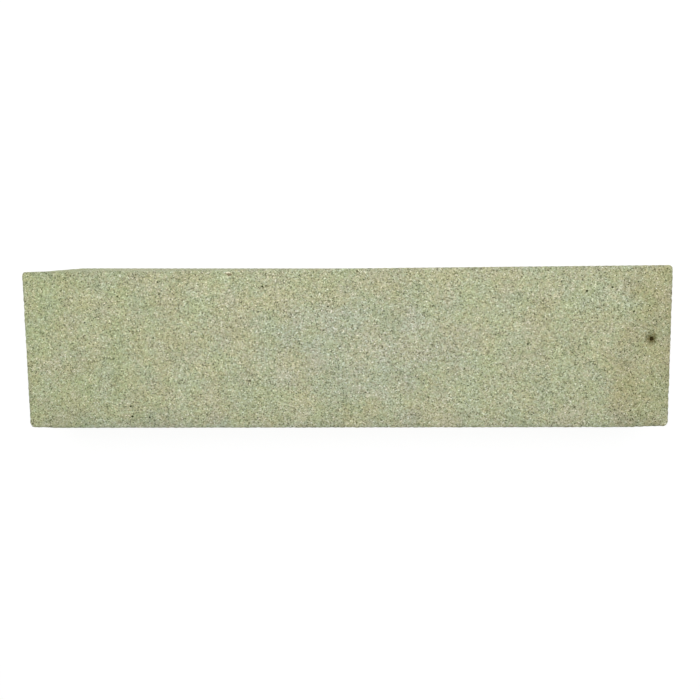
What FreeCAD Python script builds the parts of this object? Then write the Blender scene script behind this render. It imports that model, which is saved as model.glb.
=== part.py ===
# Bench whetstone: one bare block of natural green-grey sandstone, sawn to size and rubbed flat.
#
# The block is a single stone, with no base, box or handle. The pieces inside it are minerals: an
# iron-oxide nodule, a flake of ochre, dark heavy-mineral grains and bright quartz grains. Each one
# is a solid of its own that fills its own socket in the block and ends flush with the block's face.
#
# Frame, in millimetres: +X along the length, +Y across the width, +Z up through the thickness.
# The stone lies flat with its working face up. The origin is the middle of its base.

import FreeCAD, Part
import math
import os
import random

from FreeCAD import Vector

# Driving dimensions of the block
LENGTH = 200.0
WIDTH = 49.7                    # across the working face
THICKNESS = 25.0
EDGE_BREAK = 0.45               # rounding of the rims of the working face and the base

# The +Y side was sawn with a twist. Down at the base it stands further out than at the working
# face where the wear of its -X end runs out, and further in at the +X end.
BASE_FLARE_START = 0.85
BASE_FLARE_END = -1.35

# Rounding of the four upright corners
CORNER_START_HIGH = 1.1         # -X, +Y
CORNER_END_HIGH = 1.1           # +X, +Y
CORNER_END_LOW = 1.5            # +X, -Y
CORNER_START_LOW = 1.6          # -X, -Y

# Three ends of the long sides are rubbed back: how deep, how long, and the length over which the
# side then runs back out to its full width. On the +Y side that is its width at the base.
WEAR_START_LOW = (0.2, 5.5, 2.0)
WEAR_END_LOW = (0.3, 5.5, 5.0)
WEAR_START_HIGH = (0.02, 5.5, 5.0)
WEAR_RADIUS = 12.0              # rounding where a worn stretch meets the run-out and the side

# The outline is first left this much too wide on the +Y side, and the saw cut runs this far past
SAW_WASTE = 2.0
SAW_OVERRUN = 0.1

# Places derived from them. The base is widest where the +Y side's wear runs out, and the middle
# of the stone is half way across it there.
START = -LENGTH / 2
END = LENGTH / 2
LOW = -(WIDTH + BASE_FLARE_START) / 2
HIGH = LOW + WIDTH
FACE_MIDDLE_Y = (LOW + HIGH) / 2
WIDEST_X = START + WEAR_START_HIGH[1] + WEAR_START_HIGH[2]

# Inclusions that show in the working face: x and y from the middle of the face, then the size
NODULE = (94.1, 2.6, 1.3)
FLAKE = (-34.6, 23.5, 2.4)
FLAKE_NARROW = 0.52             # its width as a share of its length
FLAKE_TURN = math.radians(-20)
DARK_ON_FACE = [
    (-66.7, -21.0, 1.0), (-67.1, -17.8, 0.75), (-61.1, -21.3, 0.75), (-80.6, 8.9, 0.7),
    (-57.0, 21.3, 0.65), (-28.9, -9.8, 0.65), (-4.1, 13.3, 0.65), (38.8, -11.6, 0.65),
    (74.5, 17.3, 0.75), (82.1, 18.3, 0.75), (76.2, 9.2, 0.6), (-59.0, 3.9, 0.6),
    (57.0, 1.2, 0.65), (88.7, 11.0, 0.65), (-24.3, 19.6, 0.6), (-69.9, 16.9, 0.6),
]
BRIGHT_ON_FACE = [
    (-76.7, 3.8, 0.6), (-44.8, 20.1, 0.65), (-4.2, 18.5, 0.75), (26.1, 14.5, 0.7),
    (49.5, 11.5, 0.65), (63.4, 10.2, 0.65), (93.7, -2.8, 0.6), (95.1, 17.8, 0.6),
    (-51.3, -12.8, 0.7), (6.6, -8.3, 0.7), (3.5, -11.4, 0.6), (44.4, 2.7, 0.6),
]

# Grains scattered over the faces that rest, stand upright or turn away
GRAIN_SMALLEST = 0.5
GRAIN_LARGEST = 0.9
SCATTER_JITTER = 0.7            # how far a grain may leave its cell's middle, as a share of the cell
SCATTER_SEED = 11
DARK_GRID = (8, 2)              # grains along and across each hidden face
BRIGHT_GRID = (6, 2)

# A grain is an irregular prism that narrows both ways from its belly, just under the surface.
# Each ring is its height above the surface and its width, both as a share of the grain's size.
GRAIN_SIDES = 6
NODULE_SIDES = 9
GRAIN_RINGS = [(-0.75, 0.45), (-0.25, 1.1), (0.5, 0.8)]
FLAKE_RINGS = [(-0.18, 0.6), (-0.06, 1.05), (0.25, 0.9)]


def high_side_y(x, z):
    """Where the twisted saw cut of the +Y side stands at a place along the stone and a height."""
    along = (x - WIDEST_X) / (END - WIDEST_X)
    flare = BASE_FLARE_START + (BASE_FLARE_END - BASE_FLARE_START) * along
    return HIGH + flare * (1 - z / THICKNESS)


def rounded_wire(corners):
    """Closed wire at height 0 through corners of (x, y, radius), with a tangent arc at each."""
    arcs = []
    for i, (x, y, radius) in enumerate(corners):
        here = Vector(x, y, 0)
        back = (Vector(*corners[i - 1][:2], 0) - here).normalize()
        ahead = (Vector(*corners[(i + 1) % len(corners)][:2], 0) - here).normalize()
        half_angle = back.getAngle(ahead) / 2
        tangent_length = radius / math.tan(half_angle)
        to_middle = (back + ahead).normalize() * (radius / math.sin(half_angle) - radius)
        arcs.append((here + back * tangent_length, here + to_middle, here + ahead * tangent_length))
    edges = []
    for i, (first, middle, last) in enumerate(arcs):
        edges.append(Part.Arc(first, middle, last).toShape())
        edges.append(Part.LineSegment(last, arcs[(i + 1) % len(arcs)][0]).toShape())
    return Part.Wire(edges)


def plan_outline():
    """Outline seen from above, from the -X -Y corner round, left wide on the +Y side for the saw."""
    depth, length, run_out = WEAR_START_LOW
    end_depth, end_length, end_run_out = WEAR_END_LOW
    high_depth, high_length, high_run_out = WEAR_START_HIGH
    slope = (high_depth + BASE_FLARE_START) / high_run_out
    wide_x = START + high_length + (high_depth + SAW_WASTE) / slope
    return rounded_wire([
        (START, LOW + depth, CORNER_START_LOW),
        (START + length, LOW + depth, WEAR_RADIUS),
        (START + length + run_out, LOW, WEAR_RADIUS),
        (END - end_length - end_run_out, LOW, WEAR_RADIUS),
        (END - end_length, LOW + end_depth, WEAR_RADIUS),
        (END, LOW + end_depth, CORNER_END_LOW),
        (END, HIGH + SAW_WASTE, CORNER_END_HIGH),
        (wide_x, HIGH + SAW_WASTE, WEAR_RADIUS),
        (START + high_length, HIGH - high_depth, WEAR_RADIUS),
        (START, HIGH - high_depth, CORNER_START_HIGH),
    ])


def saw_waste():
    """What the twisted saw cut takes off beyond the +Y side."""
    first_x, last_x = START - SAW_OVERRUN, END + SAW_OVERRUN
    far_y = HIGH + 2 * SAW_WASTE
    levels = []
    for z in (-SAW_OVERRUN, THICKNESS + SAW_OVERRUN):
        near = [Vector(x, high_side_y(x, z), z) for x in (first_x, last_x)]
        far = [Vector(x, far_y, z) for x in (last_x, first_x)]
        levels.append(Part.makePolygon(near + far + near[:1]))
    return Part.makeLoft(levels, True, True)


def sawn_block():
    """The whole stone before any socket: the outline pulled up, the saw cut, then broken edges."""
    block = Part.Face(plan_outline()).extrude(Vector(0, 0, THICKNESS)).cut(saw_waste())
    corner = Vector(END, high_side_y(END, THICKNESS / 2), THICKNESS / 2)
    nearest = min(block.Edges, key=lambda edge: (edge.CenterOfMass - corner).Length)
    block = block.makeFillet(CORNER_END_HIGH, [nearest])
    rims = [edge for edge in block.Edges if edge.BoundBox.ZLength < EDGE_BREAK]
    return block.makeFillet(EDGE_BREAK, rims)


def stacked_prism(polygon, rings, place):
    """Flat-sided solid through scaled copies of a polygon, one at each (height, scale) ring."""
    levels = [[place(u * scale, v * scale, height) for u, v in polygon] for height, scale in rings]
    faces = [Part.Face(Part.makePolygon(level + level[:1])) for level in (levels[0], levels[-1])]
    for below, above in zip(levels, levels[1:]):
        for i in range(len(polygon)):
            side = [below[i - 1], below[i], above[i], above[i - 1], below[i - 1]]
            faces.append(Part.Face(Part.makePolygon(side)))
    solid = Part.Solid(Part.Shell(faces))
    if solid.Volume < 0:
        solid.reverse()
    return solid


def grain(point, normal, size, rng, sides=GRAIN_SIDES):
    """Irregular grain that breaks the surface at point. It sticks out, and is trimmed flush later."""
    turn = FreeCAD.Rotation(Vector(0, 0, 1), normal)
    polygon = []
    for i in range(sides):
        angle = 2 * math.pi * (i + rng.uniform(-0.3, 0.3)) / sides
        reach = size / 2 * rng.uniform(0.8, 1.15)
        polygon.append((reach * math.cos(angle), reach * math.sin(angle)))
    rings = [(height * size, scale) for height, scale in GRAIN_RINGS]
    return stacked_prism(polygon, rings, lambda u, v, w: point + turn.multVec(Vector(u, v, w)))


def on_working_face(x, y):
    return Vector(x, FACE_MIDDLE_Y + y, THICKNESS)


def flake():
    """Thin lens of ochre, longer than it is wide, that lies just under the working face."""
    x, y, size = FLAKE
    outline_points = [(0.5, 0.05), (0.3, 0.3), (-0.1, 0.5), (-0.42, 0.25), (-0.5, -0.3), (0.05, -0.4)]
    polygon = [(u * size, v * size * FLAKE_NARROW) for u, v in outline_points]
    rings = [(height * size, scale) for height, scale in FLAKE_RINGS]
    turn = FreeCAD.Rotation(Vector(0, 0, 1), math.degrees(FLAKE_TURN))
    middle = on_working_face(x, y)
    return stacked_prism(polygon, rings, lambda u, v, w: middle + turn.multVec(Vector(u, v, w)))


def scatter(count_u, count_v, at, normal, rng):
    """One grain per cell of a grid on one face. at(u, v) gives the point for u and v in 0 to 1."""
    grains = []
    for i in range(count_u):
        for j in range(count_v):
            u = (i + 0.5 + SCATTER_JITTER * rng.uniform(-0.5, 0.5)) / count_u
            v = (j + 0.5 + SCATTER_JITTER * rng.uniform(-0.5, 0.5)) / count_v
            size = rng.uniform(GRAIN_SMALLEST, GRAIN_LARGEST)
            grains.append(grain(at(u, v), normal, size, rng))
    return grains


def hidden_face_grains(rng, along, across):
    """Grains over the base, the two long sides and the two ends, in grids of the given counts."""
    def x_at(u):
        return START + u * LENGTH

    def y_at(v):
        return LOW + v * WIDTH

    def z_at(v):
        return v * THICKNESS

    return (
        scatter(along, across, lambda u, v: Vector(x_at(u), y_at(v), 0), Vector(0, 0, -1), rng)
        + scatter(along, 1, lambda u, v: Vector(x_at(u), LOW, z_at(v)), Vector(0, -1, 0), rng)
        + scatter(along, 1, lambda u, v: Vector(x_at(u), high_side_y(x_at(u), z_at(v)), z_at(v)),
                  Vector(0, 1, 0), rng)
        + scatter(across, 1, lambda u, v: Vector(START, y_at(u), z_at(v)), Vector(-1, 0, 0), rng)
        + scatter(across, 1, lambda u, v: Vector(END, y_at(u), z_at(v)), Vector(1, 0, 0), rng)
    )


def face_grains(places, rng):
    return [grain(on_working_face(x, y), Vector(0, 0, 1), size, rng) for x, y, size in places]


rng = random.Random(SCATTER_SEED)
block = sawn_block()

nodule_x, nodule_y, nodule_size = NODULE
nodule_place = on_working_face(nodule_x, nodule_y)
cutters = {
    "iron_nodule": [grain(nodule_place, Vector(0, 0, 1), nodule_size, rng, NODULE_SIDES)],
    "ochre_flake": [flake()],
    "dark_grains": face_grains(DARK_ON_FACE, rng) + hidden_face_grains(rng, *DARK_GRID),
    "quartz_grains": face_grains(BRIGHT_ON_FACE, rng) + hidden_face_grains(rng, *BRIGHT_GRID),
}

nodes = {name: block.common(Part.Compound(solids)) for name, solids in cutters.items()}
every_cutter = Part.Compound([solid for solids in cutters.values() for solid in solids])
nodes["stone_block"] = block.cut(every_cutter)

os.makedirs("parts", exist_ok=True)
for name, shape in nodes.items():
    shape = shape.Solids[0] if len(shape.Solids) == 1 else Part.Compound(shape.Solids)
    shape.exportStep(f"parts/{name}.step")
    print(name, "solids", len(shape.Solids), "volume", round(shape.Volume, 3), "valid", shape.isValid())
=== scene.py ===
"""Looks of the natural sandstone whetstone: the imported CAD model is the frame, in metres.

The stone's surface follows the CAD solids and is then roughened inward: broken rims, chips, saw
marks and the tooth of the rock. The inclusions are rounded minerals in the CAD's own places.
"""
import math

import bmesh
import bpy
import numpy as np
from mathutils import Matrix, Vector, noise
from mathutils.bvhtree import BVHTree

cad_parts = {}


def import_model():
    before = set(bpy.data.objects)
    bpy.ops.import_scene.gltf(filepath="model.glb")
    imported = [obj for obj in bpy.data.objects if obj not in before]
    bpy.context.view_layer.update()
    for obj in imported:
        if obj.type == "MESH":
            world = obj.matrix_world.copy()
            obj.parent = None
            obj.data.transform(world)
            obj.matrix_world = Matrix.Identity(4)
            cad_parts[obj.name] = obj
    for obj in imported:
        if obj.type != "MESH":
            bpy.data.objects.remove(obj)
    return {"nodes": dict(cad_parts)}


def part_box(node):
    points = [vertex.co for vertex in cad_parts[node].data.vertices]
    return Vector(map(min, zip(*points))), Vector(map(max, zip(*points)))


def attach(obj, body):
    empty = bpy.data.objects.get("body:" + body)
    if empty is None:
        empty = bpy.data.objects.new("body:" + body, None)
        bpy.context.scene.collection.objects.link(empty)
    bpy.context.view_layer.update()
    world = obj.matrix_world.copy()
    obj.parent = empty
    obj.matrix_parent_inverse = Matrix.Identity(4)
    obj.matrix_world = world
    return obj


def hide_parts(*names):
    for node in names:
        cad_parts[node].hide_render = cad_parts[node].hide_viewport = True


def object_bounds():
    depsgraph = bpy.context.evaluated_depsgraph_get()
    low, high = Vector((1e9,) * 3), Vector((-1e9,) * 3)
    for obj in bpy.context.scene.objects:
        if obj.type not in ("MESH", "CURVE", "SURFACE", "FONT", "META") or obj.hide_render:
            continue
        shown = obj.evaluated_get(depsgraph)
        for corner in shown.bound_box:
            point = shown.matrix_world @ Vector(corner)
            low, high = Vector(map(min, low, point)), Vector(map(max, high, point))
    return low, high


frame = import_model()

MM = 0.001
SEED = 20
cad_low, cad_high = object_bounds()

# Camera: above the working face and almost square to it
CAMERA_PLACE = (14.47 * MM, 26.62 * MM, 268.81 * MM)
CAMERA_TURN = (-6.419, 2.736, -0.661)    # degrees about X, Y and Z from looking straight down
CAMERA_LENS = 40.83

# Mesh of the block
CELL = 0.75 * MM                        # inside the faces
RIM_ROWS = np.array([0.0, 0.16, 0.33, 0.53, 0.78, 1.1]) * MM   # rows of small cells along the rims
CORNER_COLUMNS = np.array([0.0, 0.3, 0.65, 1.1, 1.7]) * MM     # closer columns round the corners

# Relief, all of it inward from the CAD's faces
SKIN = 0.035 * MM                       # mean depth of the rubbed surface below the CAD's
SKIN_LEAST = 0.002 * MM
TOOTH = 0.02 * MM
TOOTH_LENGTH = 3 * MM
WAVE = 0.03 * MM
WAVE_LENGTH = 22 * MM
SAW_RIDGE = 0.04 * MM
SAW_PITCH = 2.3 * MM
SAW_LEAN = 0.25                         # slope of the saw marks across a face
SAW_REACH = 170 * MM                    # the larger, the straighter the marks
SAW_WANDER = 0.4 * MM
RIM_REACH = 1.0 * MM                    # how far in from a rim its wear goes
RIM_WEAR = 0.1 * MM
RIM_SHADE_REACH = 1.6                       # how far the painted shade along the rims goes, as a share of its wear's reach

# Chips: how many on each edge along X, Y and Z, then the largest radius in millimetres and the
# greatest depth as a share of the radius, for those at the working face and for the others
CHIP_COUNTS = (26, 10, 5)
CHIP_SMALLEST, CHIP_SHALLOWEST = 0.35, 0.08
CHIP_AT_FACE = (0.9, 0.14)
CHIP_ELSEWHERE = (1.6, 0.32)
FACE_MARGIN = 2 * MM                    # a chip this close to the working face's height is at it

END_INSET = 11 * MM                     # where the block's width is measured: clear of the worn ends
RIM_INSET = 3 * MM                      # and of the rims

MINERAL_SPREAD = 1.06                   # makes up for what softening takes off an inclusion
SOFTENINGS = 2


# ---------------------------------------------------------------- the block's mesh

def spread(length):
    """Places from 0 to length: close together at both ends, then one per cell."""
    end = CORNER_COLUMNS
    count = round((length - 2 * end[-1]) / CELL)
    inner = np.linspace(end[-1], length - end[-1], count + 1)[1:-1]
    return np.concatenate([end, inner, (length - end)[::-1]])


def halved(places):
    """The same places with one more between each pair."""
    between = (places[1:] + places[:-1]) / 2
    return np.sort(np.concatenate([places, between]))


def ring(xs, ys, z):
    """Corners of a closed loop round the rectangle that xs and ys span, at height z."""
    low_y, high_y = ys[0], ys[-1]
    loop = [(x, low_y, z) for x in xs[:-1]]
    loop += [(xs[-1], y, z) for y in ys[:-1]]
    loop += [(x, high_y, z) for x in xs[:0:-1]]
    loop += [(xs[0], y, z) for y in ys[:0:-1]]
    return loop


def inset(places, depth):
    """The places squeezed towards their middle so that both ends move in by depth."""
    middle = (places[0] + places[-1]) / 2
    half = (places[-1] - places[0]) / 2
    return middle + (places - middle) * (half - depth) / half


class BlockMesh:
    """A closed box of quads, fine along its twelve edges and coarser inside its six faces."""

    def __init__(self, low, high):
        self.low, self.high = np.array(low), np.array(high)
        size = self.high - self.low
        self.xs = self.low[0] + spread(size[0])
        self.ys = self.low[1] + spread(size[1])
        self.vertices, self.faces = [], []

    def add_ring(self, xs, ys, z):
        first = len(self.vertices)
        self.vertices += ring(xs, ys, z)
        return list(range(first, len(self.vertices)))

    def band(self, lower, upper):
        """Quads between two rings. One may have half as many points: its cells get five corners."""
        if len(lower) == len(upper):
            for i in range(len(lower)):
                self.faces.append((lower[i - 1], lower[i], upper[i], upper[i - 1]))
            return
        for i in range(min(len(lower), len(upper))):
            if len(lower) > len(upper):
                low = (lower[2 * i - 2], lower[2 * i - 1], lower[2 * i])
                high = (upper[i], upper[i - 1])
            else:
                low = (lower[i - 1], lower[i])
                high = (upper[2 * i], upper[2 * i - 1], upper[2 * i - 2])
            self.faces.append(low + high)

    def cap(self, border, xs, ys, z, upward):
        """Grid inside the fine border ring. Cells along the border take in its extra points."""
        columns, rows = len(xs), len(ys)
        index = {}
        loop = [(i, 0) for i in range(columns - 1)]
        loop += [(columns - 1, j) for j in range(rows - 1)]
        loop += [(i, rows - 1) for i in range(columns - 1, 0, -1)]
        loop += [(0, j) for j in range(rows - 1, 0, -1)]
        extra = {}
        for k, spot in enumerate(loop):
            index[spot] = border[2 * k]
            extra[spot, loop[(k + 1) % len(loop)]] = border[2 * k + 1]
        for i in range(1, columns - 1):
            for j in range(1, rows - 1):
                index[i, j] = len(self.vertices)
                self.vertices.append((xs[i], ys[j], z))
        for i in range(columns - 1):
            for j in range(rows - 1):
                corners = [(i, j), (i + 1, j), (i + 1, j + 1), (i, j + 1)]
                face = []
                for here, there in zip(corners, corners[1:] + corners[:1]):
                    face.append(index[here])
                    if (here, there) in extra:
                        face.append(extra[here, there])
                self.faces.append(tuple(face) if upward else tuple(reversed(face)))

    def build(self):
        xs, ys = self.xs, self.ys
        fine_xs, fine_ys = halved(xs), halved(ys)
        low_z, high_z = self.low[2], self.high[2]
        depth = RIM_ROWS[-1]
        base = [self.add_ring(inset(fine_xs, d), inset(fine_ys, d), low_z) for d in RIM_ROWS[:0:-1]]
        base += [self.add_ring(fine_xs, fine_ys, low_z + d) for d in RIM_ROWS]
        rows = round((high_z - low_z - 2 * depth) / CELL)
        walls = [self.add_ring(xs, ys, z) for z in np.linspace(low_z + depth, high_z - depth, rows)[1:-1]]
        top = [self.add_ring(fine_xs, fine_ys, high_z - d) for d in RIM_ROWS[::-1]]
        top += [self.add_ring(inset(fine_xs, d), inset(fine_ys, d), high_z) for d in RIM_ROWS[1:]]
        rings = base + walls + top
        for lower, upper in zip(rings, rings[1:]):
            self.band(lower, upper)
        cap_xs, cap_ys = inset(xs, depth), inset(ys, depth)
        self.cap(rings[0], cap_xs, cap_ys, low_z, upward=False)
        self.cap(rings[-1], cap_xs, cap_ys, high_z, upward=True)
        return np.array(self.vertices), self.faces


def cad_surface():
    """Search tree over every CAD node together. Flush inclusions close the mouths of their sockets."""
    vertices, faces = [], []
    for name in sorted(frame["nodes"]):
        mesh = frame["nodes"][name].data
        first = len(vertices)
        vertices += [v.co.copy() for v in mesh.vertices]
        faces += [tuple(first + i for i in face.vertices) for face in mesh.polygons]
    return BVHTree.FromPolygons(vertices, faces)


def fitted_width(points, low, high, tree):
    """The box's points with each y moved in proportion, up to the CAD's own twisted +Y side."""
    left, right = low[0] + END_INSET, high[0] - END_INSET
    bottom, top = low[2] + RIM_INSET, high[2] - RIM_INSET

    def side(x, z):
        return tree.ray_cast(Vector((x, high[1] + MM, z)), Vector((0, -1, 0)))[0].y

    along = (points[:, 0] - left) / (right - left)
    up = (points[:, 2] - bottom) / (top - bottom)
    at_left = side(left, bottom) * (1 - up) + side(left, top) * up
    at_right = side(right, bottom) * (1 - up) + side(right, top) * up
    width = at_left * (1 - along) + at_right * along - low[1]
    fitted = points.copy()
    fitted[:, 1] = low[1] + (points[:, 1] - low[1]) * width / (high[1] - low[1])
    return fitted


def smooth_step(x):
    x = np.clip(x, 0, 1)
    return x * x * (3 - 2 * x)


def noise_at(points, wavelength, shift=0.0):
    """Smooth noise, about -1 to 1, at each point."""
    offset = Vector((shift, shift * 0.7, shift * 1.3))
    return np.array([noise.noise(Vector(p) / wavelength + offset) for p in points])


def edge_gap(points, low, high):
    """How far each point of the box's surface is from the nearest of the box's edges."""
    to_faces = np.minimum(points - low, high - points)
    return np.sort(to_faces, axis=1)[:, 1]


def saw_marks(points, normals):
    """Shallow arcs left by the saw on every face but the working one."""
    across = np.where(np.abs(normals[:, 2]) > 0.7, points[:, 1], points[:, 2])
    along = np.where(np.abs(normals[:, 0]) > 0.7, points[:, 1], points[:, 0])
    arc = along - across * SAW_LEAN + across ** 2 / SAW_REACH + SAW_WANDER * noise_at(points, 9 * MM)
    uneven = noise_at(np.stack([arc, arc * 0, arc * 0], 1), 0.9 * MM)
    ridges = np.sin(arc * 2 * math.pi / SAW_PITCH) + 0.6 * uneven
    return SAW_RIDGE * ridges * (normals[:, 2] < 0.7)


def chips(rng, low, high):
    """Small bites out of the edges: centre, radius and depth of each."""
    made = []
    for axis, count in enumerate(CHIP_COUNTS):
        others = [k for k in range(3) if k != axis]
        for side in range(4):
            for _ in range(count):
                centre = np.zeros(3)
                centre[axis] = rng.uniform(low[axis], high[axis])
                for bit, k in enumerate(others):
                    centre[k] = high[k] if side >> bit & 1 else low[k]
                at_face = centre[2] > high[2] - FACE_MARGIN
                largest, deepest = CHIP_AT_FACE if at_face else CHIP_ELSEWHERE
                radius = rng.uniform(CHIP_SMALLEST, largest) * MM
                depth = radius * rng.uniform(CHIP_SHALLOWEST, deepest)
                made.append((centre, radius, depth))
    return made


def stone_mesh():
    """The finished block. Its attribute "rim" is 1 along the edges and 0 inside the faces."""
    low, high = np.array(cad_low), np.array(cad_high)
    points, faces = BlockMesh(low, high).build()
    gap = edge_gap(points, low, high)
    tree = cad_surface()
    found = [tree.find_nearest(Vector(p)) for p in fitted_width(points, low, high, tree)]
    surface = np.array([hit[0] for hit in found])

    mesh = bpy.data.meshes.new("stone_block_surface")
    mesh.from_pydata(surface.tolist(), [], faces)
    mesh.update()
    normals = np.zeros(len(points) * 3)
    mesh.vertices.foreach_get("normal", normals)
    normals = normals.reshape(-1, 3)

    rng = np.random.default_rng(SEED)
    depth = SKIN + TOOTH * rng.uniform(-1, 1, len(points))
    depth += WAVE * 0.5 * noise_at(surface, WAVE_LENGTH) + TOOTH * 0.5 * noise_at(surface, TOOTH_LENGTH, 7)
    depth += saw_marks(surface, normals)
    rim = smooth_step(1 - gap / RIM_REACH)
    ragged = 0.8 + 0.9 * noise_at(surface, 3.1 * MM, 3) + 0.7 * noise_at(surface, 0.9 * MM, 5)
    depth += RIM_WEAR * rim * np.clip(ragged, 0, None)
    for centre, radius, bite in chips(rng, surface.min(0), surface.max(0)):
        reach = np.linalg.norm(surface - centre, axis=1) / radius
        depth += bite * np.clip(1 - reach ** 2, 0, None)
    placed = surface - normals * np.clip(depth, SKIN_LEAST, None)[:, None]
    mesh.vertices.foreach_set("co", placed.ravel())
    mesh.update()
    # Attribute rim: weight of the painted shade along the rims
    weight = mesh.attributes.new("rim", "FLOAT", "POINT")
    rim_shade_weight = smooth_step(1 - gap / (RIM_SHADE_REACH * RIM_REACH))
    weight.data.foreach_set("value", rim_shade_weight.astype(np.float32))
    mesh.shade_smooth()
    return mesh


# ---------------------------------------------------------------- inclusions

def islands(mesh):
    """Vertex places of each separate solid in a CAD node's mesh."""
    bm = bmesh.new()
    bm.from_mesh(mesh)
    bmesh.ops.remove_doubles(bm, verts=bm.verts, dist=0.001 * MM)
    seen, found = set(), []
    for start in bm.verts:
        if start in seen:
            continue
        seen.add(start)
        group, queue = [], [start]
        while queue:
            vertex = queue.pop()
            group.append(vertex.co.copy())
            for edge in vertex.link_edges:
                other = edge.other_vert(vertex)
                if other not in seen:
                    seen.add(other)
                    queue.append(other)
        found.append(group)
    bm.free()
    return found


def rounded_mineral(bm, corners, roughness, fineness):
    """Adds one solid: a ball drawn onto the hull of the CAD corners, softened, pitted and kept inside."""
    low = Vector(map(min, *corners))
    high = Vector(map(max, *corners))
    middle, half = (low + high) / 2, (high - low) / 2
    hull = bmesh.new()
    for corner in corners:
        hull.verts.new(corner)
    bmesh.ops.convex_hull(hull, input=hull.verts)
    tree = BVHTree.FromBMesh(hull)
    hull.free()

    ball = bmesh.new()
    bmesh.ops.create_icosphere(ball, subdivisions=fineness, radius=1.0)
    for vertex in ball.verts:
        direction = Vector(vertex.co[k] * half[k] for k in range(3))
        vertex.co = tree.ray_cast(middle, direction)[0]
    for _ in range(SOFTENINGS):
        bmesh.ops.smooth_vert(
            ball, verts=ball.verts, factor=0.5, use_axis_x=True, use_axis_y=True, use_axis_z=True
        )
    ball.normal_update()
    for vertex in ball.verts:
        push = noise.noise(vertex.co / (half.length * 0.4)) * half.length * roughness
        place = middle + (vertex.co + vertex.normal * push - middle) * MINERAL_SPREAD
        vertex.co = Vector(min(max(place[k], low[k]), high[k]) for k in range(3))
    for face in ball.faces:
        face.smooth = True
    scratch = bpy.data.meshes.new("scratch")
    ball.to_mesh(scratch)
    bm.from_mesh(scratch)
    bpy.data.meshes.remove(scratch)
    ball.free()


def mineral_mesh(node, roughness, fineness):
    bm = bmesh.new()
    for corners in islands(frame["nodes"][node].data):
        rounded_mineral(bm, corners, roughness, fineness)
    mesh = bpy.data.meshes.new(node + "_surface")
    bm.to_mesh(mesh)
    bm.free()
    return mesh


# ---------------------------------------------------------------- materials

class Shader:
    """One material's node tree. Inputs take a number, a colour, a vector or another node's socket."""

    def __init__(self, name):
        self.material = bpy.data.materials.new(name)
        self.material.use_nodes = True
        self.tree = self.material.node_tree
        self.surface = self.tree.nodes["Principled BSDF"]
        self.place = self.add("ShaderNodeTexCoord").outputs["Object"]

    def add(self, kind, inputs=None, **settings):
        node = self.tree.nodes.new(kind)
        for key, value in settings.items():
            setattr(node, key, value)
        for key, value in (inputs or {}).items():
            self.set(node.inputs[key], value)
        return node

    def set(self, socket, value):
        if isinstance(value, bpy.types.NodeSocket):
            self.tree.links.new(value, socket)
        else:
            socket.default_value = value

    def finish(self, **inputs):
        for key, value in inputs.items():
            self.set(self.surface.inputs[key.replace("_", " ")], value)
        return self.material

    def math(self, operation, a, b=0.0, c=0.0):
        node = self.add("ShaderNodeMath", operation=operation)
        for socket, value in zip(node.inputs, (a, b, c)):
            self.set(socket, value)
        return node.outputs[0]

    def vector(self, operation, a, b):
        node = self.add("ShaderNodeVectorMath", {0: a}, operation=operation)
        self.set(node.inputs["Scale" if operation == "SCALE" else 1], b)
        return node.outputs["Value" if operation in ("LENGTH", "DISTANCE") else "Vector"]

    def noise(self, size, detail=2.0, roughness=0.5, output="Fac"):
        """Noise about 0.5 whose blobs are about size metres across."""
        inputs = {"Vector": self.place, "Scale": 1 / size, "Detail": detail, "Roughness": roughness}
        return self.add("ShaderNodeTexNoise", inputs).outputs[output]

    def bent(self, size, reach):
        """The place, shifted about by noise, so that what is drawn there has no straight lines."""
        shift = self.vector("SUBTRACT", self.noise(size, 1.0, output="Color"), (0.5, 0.5, 0.5))
        return self.vector("ADD", self.place, self.vector("SCALE", shift, reach))

    def cells(self, size, place, feature="F1"):
        inputs = {"Vector": place, "Scale": 1 / size, "Randomness": 1.0}
        return self.add("ShaderNodeTexVoronoi", inputs, feature=feature).outputs

    def zone(self, middle, reach, wobble):
        """1 at the middle of a soft-edged ellipsoid, 0 outside it. Its edge wanders with the noise."""
        away = self.vector("DIVIDE", self.vector("SUBTRACT", self.place, middle), reach)
        radius = self.math("ADD", self.vector("LENGTH", away, (0, 0, 0)), wobble)
        return self.range(radius, 0.35, 1.15, 1.0, 0.0)

    def range(self, value, low, high, new_low, new_high):
        inputs = {"Value": value, "From Min": low, "From Max": high, "To Min": new_low,
                  "To Max": new_high}
        return self.add("ShaderNodeMapRange", inputs, interpolation_type="SMOOTHSTEP").outputs[0]

    def ramp(self, value, stops):
        node = self.add("ShaderNodeValToRGB", {"Fac": value})
        elements = node.color_ramp.elements
        while len(elements) < len(stops):
            elements.new(0.5)
        for element, (position, colour) in zip(elements, stops):
            element.position = position
            element.color = (*colour, 1)
        return node.outputs["Color"]

    def mix(self, factor, a, b, blend="MIX"):
        node = self.add("ShaderNodeMix", data_type="RGBA", blend_type=blend)
        self.set(node.inputs[0], factor)
        for socket, value in ((node.inputs[6], a), (node.inputs[7], b)):
            self.set(socket, (*value, 1) if isinstance(value, tuple) else value)
        return node.outputs[2]

    def bump(self, height, distance, strength=1.0, normal=None):
        inputs = {"Height": height, "Distance": distance, "Strength": strength}
        if normal:
            inputs["Normal"] = normal
        return self.add("ShaderNodeBump", inputs).outputs["Normal"]


GRAIN = 0.3 * MM
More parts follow.
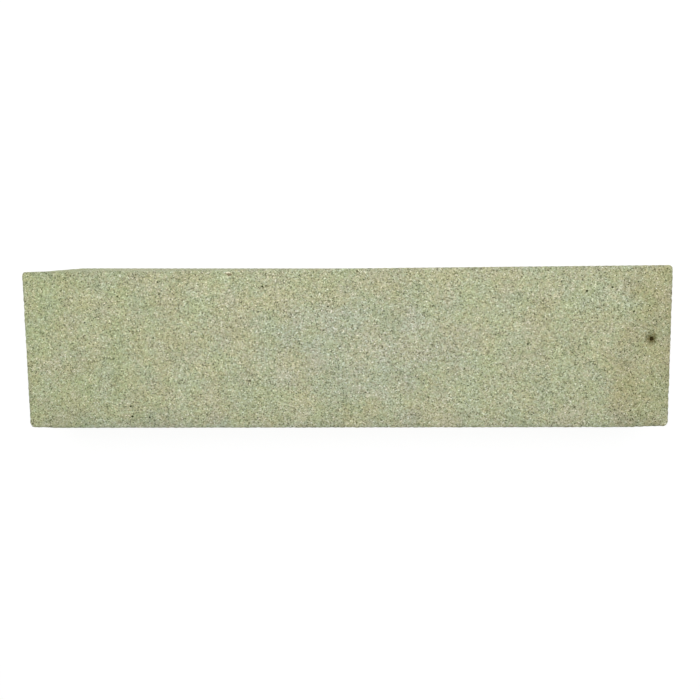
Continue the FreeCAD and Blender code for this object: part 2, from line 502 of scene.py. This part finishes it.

# Wide colour zones: middle, reach along X, Y and Z, and tint. The two ends are the rock's own colour; the
# first zone is a painted sheen and the last is painted shade
ROCK_AND_LIGHT_ZONES = [
    ((3 * MM, 0, 20 * MM), (38 * MM, 17 * MM, 40 * MM), (0.985, 0.995, 1.09)),        # painted sheen: whiter, bluer middle where the softbox's broad reflection falls
    ((108 * MM, -3 * MM, 12 * MM), (27 * MM, 60 * MM, 60 * MM), (0.91, 0.88, 0.8)),    # iron-stained
    ((-108 * MM, 4 * MM, 12 * MM), (42 * MM, 50 * MM, 60 * MM), (0.945, 0.98, 0.9)),   # greener end
    ((0, -29 * MM, 25 * MM), (220 * MM, 9 * MM, 20 * MM), (0.88, 0.885, 0.93)),        # painted shade: darker towards −Y, away from the key light
]


def sandstone():
    """Fine sandstone: close-packed grains of quartz, feldspar and green-grey rock in a thin cement."""
    shader = Shader("sandstone")
    bent = shader.bent(0.2 * MM, 0.35 * MM)
    grains = shader.cells(GRAIN, bent)
    gaps = shader.cells(GRAIN, bent, "DISTANCE_TO_EDGE")["Distance"]
    kinds = shader.add("ShaderNodeSeparateColor", {"Color": grains["Color"]}).outputs
    colour = shader.ramp(kinds[0], [
        (0.0, (0.05, 0.052, 0.02)), (0.05, (0.17, 0.178, 0.09)), (0.22, (0.36, 0.373, 0.224)),
        (0.6, (0.495, 0.512, 0.324)), (0.92, (0.63, 0.648, 0.432)), (1.0, (0.86, 0.87, 0.68)),
    ])
    colour = shader.mix(shader.range(gaps, 0.0, 0.12, 0.5, 0.0), colour, (0.25, 0.26, 0.15))

    speckle = shader.range(shader.noise(0.12 * MM, 2.0), 0.3, 0.7, 0.88, 1.12)
    clusters = shader.range(shader.noise(1.3 * MM, 2.0), 0.3, 0.7, 0.96, 1.04)
    mottle = shader.range(shader.noise(11 * MM, 3.0), 0.3, 0.7, 0.965, 1.035)
    shade = shader.math("MULTIPLY", shader.math("MULTIPLY", speckle, clusters), mottle)
    colour = shader.mix(1.0, colour, shade, "MULTIPLY")

    warmth = shader.math("ADD", shader.noise(1.2 * MM, 2.0), shader.noise(9 * MM, 3.0))
    colour = shader.mix(1.0, colour, shader.ramp(shader.range(warmth, 0.75, 1.25, 0.0, 1.0), [
        (0.0, (0.95, 1.01, 1.0)), (1.0, (1.05, 0.99, 1.0)),
    ]), "MULTIPLY")
    blueness = shader.math("ADD", shader.noise(0.8 * MM, 2.0), shader.noise(6 * MM, 3.0))
    colour = shader.mix(1.0, colour, shader.ramp(shader.range(blueness, 0.75, 1.25, 0.0, 1.0), [
        (0.0, (1.003, 1.003, 0.93)), (1.0, (0.997, 0.997, 1.07)),
    ]), "MULTIPLY")
    wobble = shader.range(shader.noise(16 * MM, 4.0), 0.0, 1.0, -0.8, 0.8)
    # Tints of the zones: the rock's own colour at both ends, painted sheen in the middle, painted shade
    # along the −Y edge
    for middle, reach, tint in ROCK_AND_LIGHT_ZONES:
        colour = shader.mix(shader.zone(middle, reach, wobble), colour,
                            shader.mix(1.0, colour, tint, "MULTIPLY"))

    nodule_low, nodule_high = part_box("iron_nodule")
    wander = shader.range(shader.noise(0.8 * MM), 0.0, 1.0, -0.9 * MM, 0.9 * MM)
    away = shader.vector("DISTANCE", shader.place, (nodule_low + nodule_high) / 2)
    rust = shader.range(shader.math("ADD", away, wander), 0.6 * MM, 2.6 * MM, 0.95, 0.0)
    colour = shader.mix(rust, colour, shader.mix(1.0, colour, (0.3, 0.26, 0.15), "MULTIPLY"))

    # Painted shade along the rims: darker and slightly bluer near every edge, in patches
    rim = shader.add("ShaderNodeAttribute", attribute_name="rim").outputs["Fac"]
    rim_shade_mask = shader.math("MULTIPLY", rim, shader.range(shader.noise(2.2 * MM), 0.3, 0.6, 0.25, 1.0))
    colour = shader.mix(rim_shade_mask, colour, shader.mix(1.0, colour, (0.9, 0.905, 0.94), "MULTIPLY"))

    normal = shader.bump(shader.range(gaps, 0.0, 0.25, 0.0, 1.0), 0.05 * MM, 0.6)
    normal = shader.bump(shader.noise(0.1 * MM, 2.0), 0.03 * MM, 0.5, normal)
    roughness = shader.range(kinds[0], 0.8, 1.0, 0.92, 0.6)
    return shader.finish(Base_Color=colour, Roughness=roughness, Normal=normal, Specular_IOR_Level=0.3)


def iron_oxide():
    """Dark nodule: near black inside, rust brown where it thins out."""
    shader = Shader("iron_oxide")
    colour = shader.ramp(shader.noise(0.35 * MM, 3.0), [
        (0.35, (0.008, 0.005, 0.0005)), (0.55, (0.026, 0.018, 0.002)), (0.75, (0.09, 0.065, 0.014)),
    ])
    normal = shader.bump(shader.noise(0.12 * MM, 2.0), 0.04 * MM, 0.7)
    return shader.finish(Base_Color=colour, Normal=normal, Roughness=0.85, Specular_IOR_Level=0.15)


def ochre():
    """Flake of ochre: brown, with painted shade darkening it towards −Y and a painted highlight, a cream
    lip, along its +Y edge.
    """
    shader = Shader("ochre")
    low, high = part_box("ochre_flake")
    across = shader.add("ShaderNodeSeparateXYZ", {"Vector": shader.place}).outputs["Y"]
    wander = shader.range(shader.noise(0.3 * MM), 0.0, 1.0, -0.2 * MM, 0.2 * MM)
    edge = shader.range(shader.math("ADD", across, wander), low.y, high.y, 0.0, 1.0)
    # painted shade towards −Y, painted highlight on the +Y lip
    colour = shader.ramp(edge, [
        (0.3, (0.2, 0.17, 0.09)), (0.68, (0.3, 0.26, 0.15)), (0.9, (0.85, 0.82, 0.62)),
    ])
    normal = shader.bump(shader.noise(0.15 * MM, 2.0), 0.03 * MM, 0.6)
    return shader.finish(Base_Color=colour, Normal=normal, Roughness=0.8)


def dark_mineral():
    """Heavy-mineral grains: green-black and dull."""
    shader = Shader("dark_mineral")
    colour = shader.ramp(shader.noise(0.3 * MM, 2.0), [
        (0.35, (0.006, 0.008, 0.0)), (0.65, (0.03, 0.034, 0.003)),
    ])
    normal = shader.bump(shader.noise(0.12 * MM, 1.0), 0.03 * MM, 0.5)
    return shader.finish(Base_Color=colour, Normal=normal, Roughness=0.8, Specular_IOR_Level=0.05)


def quartz():
    """Bright quartz grains: milky, with a faint yellow stain."""
    shader = Shader("quartz")
    colour = shader.ramp(shader.noise(0.3 * MM, 2.0), [
        (0.35, (0.62, 0.65, 0.47)), (0.65, (0.85, 0.87, 0.7)),
    ])
    normal = shader.bump(shader.noise(0.15 * MM, 1.0), 0.03 * MM, 0.5)
    return shader.finish(Base_Color=colour, Normal=normal, Roughness=0.35)


# ---------------------------------------------------------------- pieces

def piece(name, mesh, material, node):
    """Puts a mesh in the scene in place of a CAD node."""
    shape = bpy.data.objects.new(name, mesh)
    bpy.context.scene.collection.objects.link(shape)
    mesh.materials.append(material)
    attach(shape, "root")
    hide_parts(node)


piece("whetstone_body", stone_mesh(), sandstone(), "stone_block")
piece("rust_nodule", mineral_mesh("iron_nodule", 0.08, 4), iron_oxide(), "iron_nodule")
piece("ochre_chip", mineral_mesh("ochre_flake", 0.06, 4), ochre(), "ochre_flake")
piece("dark_specks", mineral_mesh("dark_grains", 0.06, 3), dark_mineral(), "dark_grains")
piece("quartz_specks", mineral_mesh("quartz_grains", 0.06, 3), quartz(), "quartz_grains")


# ---------------------------------------------------------------- stage, light and camera

SWEEP_SIZE = 3.0                        # half of the sweep's width
SWEEP_CELLS = 48
SWEEP_FLAT = 0.7                        # radius of its flat middle
SWEEP_BEND = 6.0                        # the larger, the lower its edges rise
GLOW_REACH = (0.25, 1.3)                # where its glow starts to fade, and where it has faded
GLOW_STRENGTH = (0.89, 0.65)            # before and after it fades


def floor():
    """White sweep, flat, then curved up all round. Its glow is painted light, strongest near the middle,
    that fills in the stone's shadow on it.
    """
    bm = bmesh.new()
    bmesh.ops.create_grid(bm, x_segments=SWEEP_CELLS, y_segments=SWEEP_CELLS, size=SWEEP_SIZE)
    for vertex in bm.verts:
        beyond = max(vertex.co.length - SWEEP_FLAT, 0)
        vertex.co.z = beyond ** 2 / SWEEP_BEND
    for face in bm.faces:
        face.smooth = True
    mesh = bpy.data.meshes.new("floor")
    bm.to_mesh(mesh)
    bm.free()
    table = bpy.data.objects.new("floor", mesh)
    bpy.context.scene.collection.objects.link(table)
    shader = Shader("floor")
    away = shader.vector("LENGTH", shader.place, (0, 0, 0))
    mesh.materials.append(shader.finish(
        Base_Color=(0.15, 0.15, 0.15, 1), Roughness=0.9, Emission_Color=(1, 1, 1, 1),
        Emission_Strength=shader.range(away, *GLOW_REACH, *GLOW_STRENGTH)))


def softbox(name, place, aim, size, power):
    light = bpy.data.lights.new(name, "AREA")
    light.shape = "RECTANGLE"
    light.size, light.size_y = size
    light.energy = power
    lamp = bpy.data.objects.new(name, light)
    bpy.context.scene.collection.objects.link(lamp)
    lamp.location = place
    lamp.rotation_euler = (Vector(aim) - Vector(place)).to_track_quat("-Z", "Y").to_euler()


def world(strength):
    sky = bpy.data.worlds.new("studio")
    sky.use_nodes = True
    background = sky.node_tree.nodes["Background"]
    background.inputs["Color"].default_value = (1, 1, 1, 1)
    background.inputs["Strength"].default_value = strength
    bpy.context.scene.world = sky


floor()
world(strength=0.25)
softbox("key", place=(0.005, 0.1, 0.3), aim=(0, 0, 0.02), size=(0.5, 0.25), power=1.08)
bpy.context.scene.view_settings.view_transform = "Standard"

camera = bpy.data.objects.new("camera", bpy.data.cameras.new("camera"))
bpy.context.scene.collection.objects.link(camera)
camera.location = CAMERA_PLACE
camera.rotation_euler = [math.radians(angle) for angle in CAMERA_TURN]
camera.data.lens = CAMERA_LENS
camera.data.clip_start = 0.01
bpy.context.scene.camera = camera
